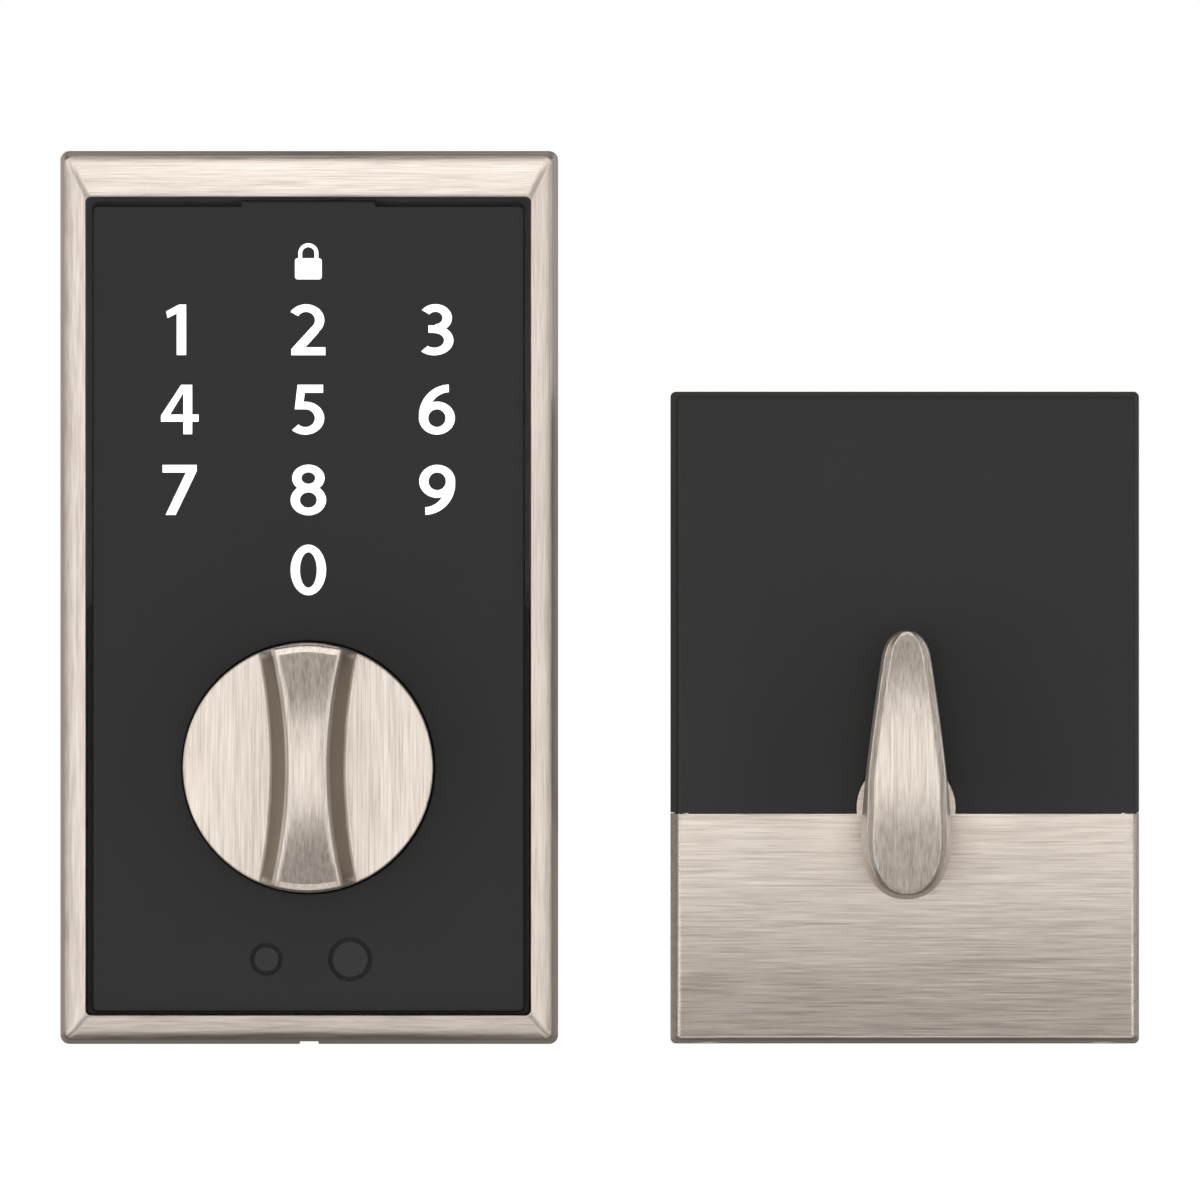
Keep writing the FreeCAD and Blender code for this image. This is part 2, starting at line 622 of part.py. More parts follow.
def cover_shell():
    """Walls and front of both covers, before they are parted."""
    back_opening = plate(-IN_X + IN_WALL, IN_X - IN_WALL, IN_LOW + IN_WALL, IN_HIGH - IN_WALL, 0.6,
                         IN_BACK - 0.01, IN_BACK + 1)
    return inside_envelope(0).cut(inside_envelope(IN_WALL).fuse(back_opening))


def lower_cover():
    """Nickel cover with a round rose behind the lever, held by two screws from below."""
    rose = rod(ROSE_R, 0, 0, IN_FRONT - 1, IN_FRONT + 2 * IN_WALL)
    shell = cover_shell().common(joined([box(-40, 40, -40, 5, -60, SPLIT - SEAM / 2), rose]))
    shell = shell.cut(rod(HUB_HOLE_R, 0, 0, IN_FRONT - 1, IN_FRONT + 2 * IN_WALL))
    for x in COVER_SCREW_X:
        shell = shell.cut(rod_up(1.3, x, COVER_SCREW_Y, -36, -28))
        shell = shell.cut(rod_up(2.3, x, COVER_SCREW_Y, -36, -32.3))
    return shell


def battery_cover():
    """Black cover: front, top and two sides. It is open below and slides up."""
    shell = cover_shell().common(box(-40, 40, -40, 5, SPLIT + SEAM / 2, 80))
    return shell.cut(rod(NOTCH_R, 0, 0, IN_FRONT - 1, IN_FRONT + 2 * IN_WALL))


# ------------------------------------------------------------------ inside unit: thumbturn
def lever_wire(inset, y):
    """Drop-shaped outline: one smooth curve down each side, level at the top and the bottom."""
    middle = (LEVER_TOP + LEVER_FOOT) / 2
    narrow = 1 - inset / 6.4
    shorten = 1 - inset / (LEVER_TOP - middle)
    half = [(1.7, 24.75), (2.75, 23.5), (3.4, 21.0), (4.5, 15.3), (5.2, 9.6), (5.75, 4.0), (6.3, -1.0),
            (6.4, -5.7), (5.9, -8.2), (4.93, -10.2), (3.6, -11.6), (1.9, -12.5)]
    edges = []
    for side in (1, -1):
        line = [(0, LEVER_TOP)] + half + [(0, LEVER_FOOT)]
        points = [Vector(side * x * narrow, y, middle + (z - middle) * shorten) for x, z in line]
        outwards = Vector(side, 0, 0)
        curve = Part.BSplineCurve()
        curve.interpolate(Points=points, InitialTangent=outwards, FinalTangent=-outwards)
        edges.append(curve.toShape())
    return Part.Wire(edges)


def thumbturn_lever():
    """Cast lever with leaning sides and a crown that is an arc along Z."""
    lever = Part.makeLoft([lever_wire(0, LEVER_BACK), lever_wire(0.75, LEVER_CROWN - 0.2)], True)
    lever = lever.common(rod_across(LEVER_CROWN_R, LEVER_CROWN + LEVER_CROWN_R, LEVER_CROWN_Z, -10, 10))
    lever = lever.cut(rod(SHAFT_R, 0, 0, LEVER_SOCKET, LEVER_BACK + 1))
    return lever.cut(rod(1.5, 0, 0, LEVER_SOCKET - 5, LEVER_SOCKET))


def thumbturn_hub():
    """Steel hub: slot for the tailpiece at the back, screw hole to the lever in front."""
    hub = rod(SHAFT_R, 0, 0, LEVER_SOCKET, -5.5)
    hub = hub.cut(box(-TAIL_X - 0.15, TAIL_X + 0.15, -20, 0, -TAIL_Z - 0.15, TAIL_Z + 0.15))
    hub = hub.cut(rod(2.8, 0, 0, -22, -20)).cut(rod(1.5, 0, 0, -40, -20))
    return hub.cut(ring(SHAFT_R + 1, 4.5, 0, 0, -10.8, -10.0))


def thumbturn_screw():
    return joined([rod(1.5, 0, 0, LEVER_SOCKET - 4.6, -21), rod(2.8, 0, 0, -22, -20.4)])


def thumbturn_bushing():
    return turned([(SHAFT_R + RUNNING, TOWER_FRONT - 0.6), (8.5, TOWER_FRONT - 0.6), (8.5, TOWER_FRONT),
                   (BUSH_R, TOWER_FRONT), (BUSH_R, -14.0), (SHAFT_R + RUNNING, -14.0)])


def position_cam():
    """Cam on the hub that works the position switch."""
    cam = joined([rod(7.2, 0, 0, -12.6, -11.0), box(-2.2, 2.2, -12.6, -11.0, -9.2, -5)])
    return cam.cut(rod(SHAFT_R, 0, 0, -14, -9))


def position_switch():
    body = box(-3.2, 3.2, -12.9, -8.0, -20.0, -15.0)
    return joined([body, box(-1.0, 1.0, -12.3, -11.3, -16.0, -9.9)])


# ------------------------------------------------------------------ inside unit: chassis and power
def inside_chassis():
    """Black moulded base with the bearing tower, board standoffs, cover rails and screw bosses."""
    body = [plate(-30.8, 30.8, -31.2, 56.6, 1.5, CHASSIS_Y, PLATE_Y),
            rod(12.2, 0, 0, -15.5, PLATE_Y), rod(9.0, 0, 0, TOWER_FRONT, -15.0)]
    body += [rod(2.0, x, z, -6.4, CHASSIS_Y + 0.5) for x, z in STANDOFFS]
    for side in (-1, 1):
        edges = sorted((side * 29.4, side * 30.6))
        body.append(box(edges[0], edges[1], -10.0, CHASSIS_Y + 0.5, 2.0, 56.0))
        edges = sorted((side * 25.6, side * 30.4))
        body.append(box(edges[0], edges[1], -12.0, CHASSIS_Y + 0.5, -31.2, -25.0))
    base = joined(body)
    base = base.cut(rod(10.6, 0, 0, -13.9, 1)).cut(rod(BUSH_R, 0, 0, -30, 0))
    base = base.cut(box(-2, 2, -13.0, -10.6, -13, -9))
    for x, z in bolt_places():
        base = base.cut(rod(5.0, x, z, -6, 0))
    for x, z in CHASSIS_CORNERS:
        base = base.cut(rod(1.6, x, z, -6, 0))
    for x in COVER_SCREW_X:
        base = base.cut(rod_up(1.3, x, COVER_SCREW_Y, -32, -26))
    hole_r, hole_z = CABLE_HOLE
    return base.cut(rod(hole_r, 0, hole_z, -6, 0))


def support_plate():
    """Steel plate that the through bolts pull against the door."""
    sheet = plate(-29, 29, -29.5, 56.2, 2.0, PLATE_Y, 0)
    hole_r, hole_z = CABLE_HOLE
    sheet = sheet.cut(rod(9.0, 0, 0, -3, 1)).cut(rod(hole_r, 0, hole_z, -3, 1))
    for x, z in bolt_places():
        sheet = sheet.cut(rod(BOLT_COLLAR_R + 0.2, x, z, -3, 1))
    for x, z in CHASSIS_CORNERS:
        sheet = sheet.cut(rod(1.4, x, z, -3, 1))
    return sheet


def through_bolts():
    """Two bolts that pass through the door into the posts of the outside unit."""
    bolts = []
    for x, z in bolt_places():
        head = rod(4.6, x, z, -4.0, PLATE_Y).cut(box(x - 0.6, x + 0.6, -5, -3.0, z - 4, z + 4))
        collar = rod(BOLT_COLLAR_R, x, z, PLATE_Y - 0.5, 0)
        bolts.append(joined([head, collar, rod(BOLT_R, x, z, -0.5, BOLT_END)]))
    return group(bolts)


def chassis_screws():
    return group([joined([rod(1.4, x, z, CHASSIS_Y - 0.5, 0), rod(2.8, x, z, CHASSIS_Y - 1.6, CHASSIS_Y)])
                  for x, z in CHASSIS_CORNERS])


def cover_screws():
    return group([joined([rod_up(1.3, x, COVER_SCREW_Y, -33, -27), rod_up(2.2, x, COVER_SCREW_Y, -33.2, -32.3)])
                  for x in COVER_SCREW_X])


def terminal_places():
    """Middle of each battery terminal: (radius, y, z)."""
    y = BATTERY_BACK - BATTERY[1] / 2
    z = BATTERY_Z + BATTERY[2] / 2
    return [(2.9, y, z - 6.35), (4.1, y, z + 6.35)]


def battery_case():
    """Nine volt block battery, lying across the unit."""
    length, depth, height = BATTERY
    block = box(BATTERY_X, BATTERY_X + length, BATTERY_BACK - depth, BATTERY_BACK, BATTERY_Z,
                BATTERY_Z + height)
    long_edges = [edge for edge in block.Edges if abs(edge.Vertexes[0].X - edge.Vertexes[-1].X) > 1]
    return block.makeFillet(2.0, long_edges)


def battery_terminals():
    start = BATTERY_X + BATTERY[0]
    return group([rod_across(r, y, z, start, start + 2.4) for r, y, z in terminal_places()])


def battery_connector():
    """Snap plate over both terminals."""
    start = BATTERY_X + BATTERY[0]
    middle_z = BATTERY_Z + BATTERY[2] / 2
    middle_y = terminal_places()[0][1]
    clip = box(start + 0.4, start + 4.4, middle_y - 5.6, middle_y + 5.6, middle_z - 12.2, middle_z + 12.2)
    for r, y, z in terminal_places():
        clip = clip.cut(rod_across(r, y, z, start, start + 2.4))
    return clip


def inside_circuit_board():
    return plate(-24.5, 24.5, -30.6, -14.6, 1.0, IN_BOARD_FRONT, IN_BOARD_BACK)


def inside_board_parts():
    """Processor, driver, capacitors and regulator on the inside board."""
    chips = [(-20, -11, -27, -18, 1.4), (-8, -4, -28, -23, 1.2), (6, 11, -26, -21, 1.8)]
    parts = [box(x0, x1, IN_BOARD_FRONT - high, IN_BOARD_FRONT, z0, z1) for x0, x1, z0, z1, high in chips]
    capacitor = rod(2.5, 0, -26.0, -15.0, IN_BOARD_FRONT)
    return group(parts + [capacitor])


def cable_socket():
    """Socket for the plug of the cable from the outside unit."""
    shell = box(13.5, 22.5, -14.0, IN_BOARD_FRONT, -28.0, -23.0)
    return shell.cut(box(14.4, 21.6, -15, -9.0, -27.2, -23.8))


# ------------------------------------------------------------------ all nodes
def outside_nodes():
    numerals = key_numerals()
    symbol = lock_symbol()
    return {
        "outside_escutcheon": outside_escutcheon(),
        "touch_panel": touch_panel([numerals, symbol]),
        "key_numerals": numerals,
        "lock_symbol": symbol,
        "panel_chassis": panel_chassis(),
        "light_guide": light_guide(),
        "keypad_circuit_board": plate(-BOARD_X, BOARD_X, BOARD_LOW, BOARD_HIGH, 1.0, BOARD_FRONT, BOARD_BACK),
        "keypad_leds": group([led(x, z) for x, z in led_places()]),
        "keypad_chips": keypad_chips(),
        "buzzer": buzzer(),
        "jump_contact_small": jump_contact(SMALL_CONTACT_R, -CONTACT_X),
        "jump_contact_large": jump_contact(LARGE_CONTACT_R, CONTACT_X),
        "contact_tags": contact_tags(),
        "turn_knob": turn_knob(),
        "knob_shaft": knob_shaft(),
        "knob_bushing": knob_bushing(),
        "knob_spring_washer": knob_spring_washer(),
        "knob_retaining_ring": knob_retaining_ring(),
        "drive_wheel": drive_wheel(),
        "clutch_motor": clutch_motor(),
        "motor_bracket": motor_bracket(),
        "clutch_screw": clutch_screw(),
        "clutch_plate": clutch_plate(),
        "dog_pin": dog_pin(),
        "dog_pin_spring": dog_pin_spring(),
        "tailpiece_hub": tailpiece_hub(),
        "tailpiece": tailpiece(),
        "tailpiece_pin": tailpiece_pin(),
        "rear_housing": rear_housing(),
        "mounting_posts": mounting_posts(),
        "housing_screws": housing_screws(),
        "cable_grommet": cable_grommet(),
        "door_gasket": door_gasket(),
    }


def inside_nodes():
    return {
        "lower_cover": lower_cover(),
        "battery_cover": battery_cover(),
        "thumbturn_lever": thumbturn_lever(),
        "thumbturn_hub": thumbturn_hub(),
        "thumbturn_screw": thumbturn_screw(),
        "thumbturn_bushing": thumbturn_bushing(),
        "thumbturn_washer": ring(7.6, 5.2, 0, 0, -13.7, -12.9),
        "thumbturn_clip": ring(7.2, 4.5, 0, 0, -10.8, -10.0).cut(box(-2.4, 2.4, -12, -9, 0, 8)),
        "position_cam": position_cam(),
        "position_switch": position_switch(),
        "inside_chassis": inside_chassis(),
        "support_plate": support_plate(),
        "through_bolts": through_bolts(),
        "chassis_screws": chassis_screws(),
        "cover_screws": cover_screws(),
        "battery_case": battery_case(),
        "battery_terminals": battery_terminals(),
        "battery_connector": battery_connector(),
        "inside_circuit_board": inside_circuit_board(),
        "inside_board_parts": inside_board_parts(),
        "cable_socket": cable_socket(),
    }


def main():
    os.makedirs("parts", exist_ok=True)
    nodes = outside_nodes()
    nodes.update({name: inside_at(shape) for name, shape in inside_nodes().items()})
    for name, shape in nodes.items():
        for solid in shape.Solids:
            if not solid.isValid():
                print("not a valid solid:", name)
        print(f"{name:24s} solids {len(shape.Solids)}  volume {shape.Volume:9.1f}")
        shape.exportStep("parts/" + name + ".step")


main()
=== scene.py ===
import json
import math

import bmesh
import bpy
import numpy as np
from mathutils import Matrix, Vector


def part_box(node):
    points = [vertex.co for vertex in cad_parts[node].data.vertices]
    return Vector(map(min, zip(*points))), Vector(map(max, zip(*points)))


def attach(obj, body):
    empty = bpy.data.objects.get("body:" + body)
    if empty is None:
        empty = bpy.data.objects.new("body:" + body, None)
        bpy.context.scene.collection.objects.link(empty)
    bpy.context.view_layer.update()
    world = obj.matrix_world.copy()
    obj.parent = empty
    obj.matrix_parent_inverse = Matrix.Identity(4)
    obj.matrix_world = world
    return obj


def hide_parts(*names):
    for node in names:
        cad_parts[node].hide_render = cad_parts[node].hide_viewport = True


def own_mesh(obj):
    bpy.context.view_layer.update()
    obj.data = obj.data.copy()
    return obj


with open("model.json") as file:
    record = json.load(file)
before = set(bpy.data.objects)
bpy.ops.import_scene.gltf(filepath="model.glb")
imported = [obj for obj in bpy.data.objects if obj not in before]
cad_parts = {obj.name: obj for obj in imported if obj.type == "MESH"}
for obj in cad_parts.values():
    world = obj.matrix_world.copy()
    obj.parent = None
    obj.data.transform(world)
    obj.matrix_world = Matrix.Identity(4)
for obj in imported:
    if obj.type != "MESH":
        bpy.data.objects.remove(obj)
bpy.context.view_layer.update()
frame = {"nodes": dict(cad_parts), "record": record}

NODES = frame["nodes"]
MM = 0.001
X, Y, Z = range(3)


# ------------------------------------------------------------------ shader graphs
class Wire:
    """An output socket. Arithmetic on it adds Math nodes and gives the new output."""

    def __init__(self, graph, socket):
        self.graph = graph
        self.socket = socket

    def math(self, operation, *terms):
        return self.graph.node("ShaderNodeMath", {"operation": operation}, dict(enumerate(terms)))

    def __add__(self, other):
        return self.math("ADD", self, other)

    __radd__ = __add__

    def __sub__(self, other):
        return self.math("SUBTRACT", self, other)

    def __rsub__(self, other):
        return self.math("SUBTRACT", other, self)

    def __mul__(self, other):
        return self.math("MULTIPLY", self, other)

    __rmul__ = __mul__

    def between(self, low, high):
        """0 below low, 1 above high, smooth in between."""
        return self.graph.node("ShaderNodeMapRange", {"interpolation_type": "SMOOTHSTEP"},
                               {"Value": self, "From Min": low, "From Max": high})


class Graph:
    """The node tree of one material."""

    def __init__(self, name):
        self.material = bpy.data.materials.new(name)
        self.material.use_nodes = True
        self.tree = self.material.node_tree
        self.tree.nodes.clear()

    def node(self, kind, settings=None, inputs=None, output=0):
        """Adds a node: settings are its properties, inputs are numbers, colours or wires."""
        made = self.tree.nodes.new(kind)
        for key, value in (settings or {}).items():
            if key == "stops":
                self.set_stops(made.color_ramp, value)
            else:
                setattr(made, key, value)
        for key, value in (inputs or {}).items():
            if isinstance(value, Wire):
                self.tree.links.new(value.socket, made.inputs[key])
            else:
                made.inputs[key].default_value = value
        return Wire(self, made.outputs[output])

    @staticmethod
    def set_stops(ramp, stops):
        """Each stop is (place along the ramp, colour)."""
        while len(ramp.elements) < len(stops):
            ramp.elements.new(1.0)
        for element, (place, colour) in zip(ramp.elements, stops):
            element.position = place
            element.color = (*colour, 1.0)

    def place(self, stretch=(1, 1, 1)):
        """Object coordinates in metres, each axis multiplied by its own number."""
        spot = self.node("ShaderNodeTexCoord", output="Object")
        return self.node("ShaderNodeVectorMath", {"operation": "MULTIPLY"}, {0: spot, 1: stretch})

    def surface(self, stretch):
        """The piece's own UV map in metres, each axis multiplied by its own number."""
        spot = self.node("ShaderNodeUVMap", {"uv_map": "grain"})
        return self.node("ShaderNodeVectorMath", {"operation": "MULTIPLY"}, {0: spot, 1: stretch})

    def noise(self, vector, detail, rough=0.5):
        """Cloudy noise with features about one unit of the vector across."""
        return self.node("ShaderNodeTexNoise", {"noise_dimensions": "3D"},
                         {"Vector": vector, "Scale": 1.0, "Detail": detail, "Roughness": rough})

    def mix(self, amount, first, second):
        """Colour between first and second."""
        return self.node("ShaderNodeMix", {"data_type": "RGBA"}, {"Factor": amount, 6: first, 7: second}, 2)

    def bump(self, height, depth):
        """Normal tilted by the height, whose full range is depth metres."""
        return self.node("ShaderNodeBump", {}, {"Height": height, "Distance": depth, "Strength": 1.0})

    def finish(self, inputs):
        """One Principled shader with the given inputs is the whole surface."""
        shader = self.node("ShaderNodeBsdfPrincipled", {}, inputs)
        output = self.tree.nodes.new("ShaderNodeOutputMaterial")
        self.tree.links.new(shader.socket, output.inputs["Surface"])
        return self.material


def rgb(red, green, blue):
    """Opaque colour, as sockets take it."""
    return (red, green, blue, 1.0)


# ------------------------------------------------------------------ finishes
FINE_STREAKS = {"across": 4800.0, "along": 120.0, "detail": 3.0}
BROAD_STREAKS = {"across": 1300.0, "along": 45.0, "detail": 2.0}
FINE_SHARE = 0.7
NICKEL_TONES = ((0.30, (0.46, 0.40, 0.35)), (0.50, (0.70, 0.628, 0.565)), (0.70, (0.90, 0.825, 0.755)))
# Painted shade: the browner, darker tone put on the knob grip's steep walls.
WALL_PAINTED_SHADE = rgb(0.27, 0.225, 0.18)


def brushed_nickel(name, along, by_uv=False, walls=False):
    """Satin nickel with straight grain along one axis: long thin streaks and a few broader bands.

    Both noises are drawn out along the grain, so many features stand across a metre and few along it. They
    read the piece's UV map if by_uv is true. If not, they read its own coordinates, and a face that looks
    along the grain is brushed front to back. Where walls is true, the piece's "wall" attribute marks the
    steep walls, whose browner, darker tone is painted shade and whose higher roughness makes them duller."""
    g = Graph(name)
    coords = g.surface if by_uv else g.place

    def streaks(axis_along):
        layers = []
        for kind in (FINE_STREAKS, BROAD_STREAKS):
            stretch = [kind["along"] if axis == axis_along else kind["across"] for axis in (X, Y, Z)]
            layers.append(g.noise(coords(stretch), kind["detail"], rough=0.62))
        return layers[0] * FINE_SHARE + layers[1] * (1 - FINE_SHARE)

    grain = streaks(along)
    if not by_uv:
        facing = g.node("ShaderNodeTexCoord", output="Normal")
        facing = g.node("ShaderNodeSeparateXYZ", {}, {"Vector": facing}, along)
        end_face = facing.math("ABSOLUTE", facing).between(0.6, 0.8)
        grain = grain + (streaks(Y) - grain) * end_face
    tone = g.node("ShaderNodeValToRGB", {"stops": NICKEL_TONES}, {"Fac": grain})
    rough = 0.27 + grain * 0.12
    # Painted shade: the "wall" attribute mixes the darker brown wall shade into the tone; the added
    # roughness is real.
    if walls:
        wall = g.node("ShaderNodeAttribute", {"attribute_name": "wall"}, output="Fac")
        tone = g.mix(wall, tone, WALL_PAINTED_SHADE)
        rough = rough + wall * 0.08
    return g.finish({"Base Color": tone, "Metallic": 1.0, "Roughness": rough,
                     "Normal": g.bump(grain, 0.00001), "Anisotropic": 0.85})


def black_panel(name):
    """Smooth satin black panel with a very faint mould texture."""
    g = Graph(name)
    cloud = g.noise(g.place((60, 60, 60)), detail=3.0)
    pores = g.noise(g.place((5000, 5000, 5000)), detail=1.0)
    return g.finish({"Base Color": g.mix(cloud, rgb(0.0105, 0.0105, 0.011), rgb(0.013, 0.013, 0.0135)),
                     "Roughness": 0.40 + cloud * 0.08, "Specular IOR Level": 0.35,
                     "Normal": g.bump(pores, 0.000004)})


def moulded_black(name, shade=0.022, grit=0.00001):
    """Black moulding with a fine spark-eroded texture."""
    g = Graph(name)
    cloud = g.noise(g.place((45, 45, 45)), detail=2.0)
    pores = g.noise(g.place((3200, 3200, 3200)), detail=2.0)
    dark = rgb(shade * 0.85, shade * 0.85, shade * 0.86)
    light = rgb(shade * 1.15, shade * 1.15, shade * 1.16)
    return g.finish({"Base Color": g.mix(cloud * 0.6 + pores * 0.4, dark, light),
                     "Roughness": 0.45 + pores * 0.15, "Specular IOR Level": 0.4,
                     "Normal": g.bump(pores, grit)})


def lit_white(name):
    """White light-spreading plastic of the numerals, a little lit from behind."""
    g = Graph(name)
    cloud = g.noise(g.place((400, 400, 400)), detail=1.0)
    return g.finish({"Base Color": g.mix(cloud, rgb(0.90, 0.92, 0.93), rgb(0.96, 0.97, 0.97)),
                     "Roughness": 0.45, "Emission Color": g.mix(cloud, rgb(0.93, 0.96, 0.97), rgb(1, 1, 1)),
                     "Emission Strength": 0.55})


def plain_metal(name, colour, rough, stretch=(900, 900, 900), metallic=1.0):
    """Metal with a tumbled or turned surface: noise changes its tone and roughness."""
    g = Graph(name)
    cloud = g.noise(g.place(stretch), detail=3.0)
    dark = rgb(*[0.86 * c for c in colour])
    light = rgb(*[min(1.0, 1.12 * c) for c in colour])
    return g.finish({"Base Color": g.mix(cloud, dark, light), "Metallic": metallic,
                     "Roughness": rough - 0.06 + cloud * 0.12, "Normal": g.bump(cloud, 0.00001)})


def plain_matter(name, colour, rough, scale=900, depth=0.00001, spread=0.12):
    """Plastic, rubber or foam with a grain of its own size."""
    g = Graph(name)
    cloud = g.noise(g.place((scale, scale, scale)), detail=3.0)
    dark = rgb(*[(1 - spread) * c for c in colour])
    light = rgb(*[(1 + spread) * c for c in colour])
    return g.finish({"Base Color": g.mix(cloud, dark, light), "Roughness": rough - 0.05 + cloud * 0.1,
                     "Normal": g.bump(cloud, depth)})


def circuit_board(name):
    """Green solder mask with paler copper tracks under it."""
    g = Graph(name)
    brick = g.node("ShaderNodeTexBrick", {"offset": 0.37},
                   {"Vector": g.place(), "Scale": 260.0, "Mortar Size": 0.035, "Bias": 0.0,
                    "Color1": rgb(0, 0, 0), "Color2": rgb(0, 0, 0), "Mortar": rgb(1, 1, 1)})
    return g.finish({"Base Color": g.mix(brick, rgb(0.012, 0.10, 0.045), rgb(0.03, 0.19, 0.09)),
                     "Roughness": 0.35})


def battery_skin(name):
    """Plain painted battery case: dark body with a pale end band."""
    g = Graph(name)
    cloud = g.noise(g.place((500, 500, 500)), detail=2.0)
    across = g.node("ShaderNodeSeparateXYZ", {}, {"Vector": g.place()}, X)
    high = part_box("battery_case")[1]
    band_edge, blur = high.x - 11.1 * MM, 0.1 * MM
    band = across.between(band_edge - blur, band_edge + blur)
    body = g.mix(cloud, rgb(0.035, 0.036, 0.040), rgb(0.050, 0.051, 0.056))
    return g.finish({"Base Color": g.mix(band, body, rgb(0.55, 0.36, 0.15)), "Metallic": band * 0.7,
                     "Roughness": 0.32 + cloud * 0.06})


FINISHES = {
    "satin_nickel": brushed_nickel("brushed nickel, level grain", X),
    "black_panel": black_panel("touch panel black"),
    "cover_black": moulded_black("battery cover black", 0.0135, 0.000006),
    "moulded_black": moulded_black("chassis black"),
    "contact_black": plain_metal("blackened contact", (0.030, 0.030, 0.031), 0.38, metallic=0.6),
    "numeral_white": lit_white("numeral white"),
    "clear_guide": plain_matter("frosted light guide", (0.80, 0.83, 0.84), 0.4),
    "circuit_board": circuit_board("green circuit board"),
    "chip_black": plain_matter("chip moulding", (0.03, 0.03, 0.035), 0.5),
    "spring_steel": plain_metal("spring steel", (0.52, 0.52, 0.53), 0.3),
    "zinc_plated_steel": plain_metal("zinc plate", (0.66, 0.66, 0.63), 0.33),
    "zinc_casting": plain_metal("raw zinc casting", (0.50, 0.51, 0.52), 0.48, (300, 300, 300)),
    "bronze": plain_metal("sintered bronze", (0.30, 0.21, 0.12), 0.5, (2500, 2500, 2500)),
    "rubber": plain_matter("grommet rubber", (0.025, 0.025, 0.026), 0.62),
    "foam": plain_matter("closed-cell foam", (0.045, 0.045, 0.047), 0.85, 2600, 0.00005, 0.3),
    "battery_skin": battery_skin("battery case"),
}


def finish_cad_nodes():
    """Every CAD node takes the finish of its own slot in the record."""
    slots = {part["node"]: part["material_slot"] for part in frame["record"]["subparts"]}
    for name, node in NODES.items():
        node.data.materials.clear()
        node.data.materials.append(FINISHES[slots[name]])


# ------------------------------------------------------------------ surfaces
def mesh_piece(name, points, faces, material, uvs=None):
    """A mesh from an array of points in metres, a list of faces as point numbers and an array of UVs.

    The UVs go corner by corner, in the order of the faces."""
    mesh = bpy.data.meshes.new(name)
    mesh.from_pydata(points.tolist(), [], faces)
    if uvs is not None:
        layer = mesh.uv_layers.new(name="grain")
        layer.data.foreach_set("uv", np.asarray(uvs, float).ravel())
    mesh.materials.append(material)
    piece = bpy.data.objects.new(name, mesh)
    bpy.context.scene.collection.objects.link(piece)
    return piece


def grid_faces(rows, columns, close_rows=False, close_columns=False):
    """Corner indices of the quads of a grid, row by row."""
    r = np.arange(rows if close_rows else rows - 1)
    c = np.arange(columns if close_columns else columns - 1)
    r, c = np.meshgrid(r, c, indexing="ij")
    r2, c2 = (r + 1) % rows, (c + 1) % columns
    quads = np.stack([r * columns + c, r * columns + c2, r2 * columns + c2, r2 * columns + c], -1)
    return quads.reshape(-1, 4)


def weld(piece, reach, angle):
    """Merges points within reach, drops faces without area and turns all faces outwards.

    Edges that turn by more than the angle, in degrees, look sharp."""
    work = bmesh.new()
    work.from_mesh(piece.data)
    bmesh.ops.remove_doubles(work, verts=work.verts, dist=reach)
    bmesh.ops.dissolve_degenerate(work, edges=work.edges, dist=reach)
    bmesh.ops.recalc_face_normals(work, faces=work.faces)
    work.to_mesh(piece.data)
    work.free()
    piece.data.shade_smooth()
    piece.data.set_sharp_from_angle(angle=math.radians(angle))


def stand_for(piece, body, node):
    """The piece moves with the body and hides the CAD node."""
    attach(piece, body)
    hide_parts(node)


def bend(first, corner, last, count):
    """Curve that leaves first and reaches last along the lines to corner: a quadratic Bezier curve.

    The three are arrays whose last axis is the coordinate. The points come along a new axis before it."""
    t = np.linspace(0, 1, count)[:, None]
    first, corner, last = (np.asarray(p, float)[..., None, :] for p in (first, corner, last))
    return (1 - t) ** 2 * first + 2 * t * (1 - t) * corner + t ** 2 * last


# ------------------------------------------------------------------ outside case
BAR_RISE = 1.8 * MM
BAR_SLOPE = 0.85
NOTCH_HALF = 1.3 * MM
NOTCH_DEPTH = 0.5 * MM
NOTCH_LENGTH = 10.8 * MM
NOTCH_EDGE = 0.05 * MM


def bar_height(share, bar_y):
    """Y of the bar's face. It climbs steeply out of the rim and then evenly to the inner edge.

    The climb is BAR_SLOPE times the share of the way in, and the rest is 1 - (1 - share) ** 6."""
    climb = BAR_SLOPE * share + (1 - BAR_SLOPE) * (1 - (1 - share) ** 6)
    return bar_y + BAR_RISE * (1 - climb)


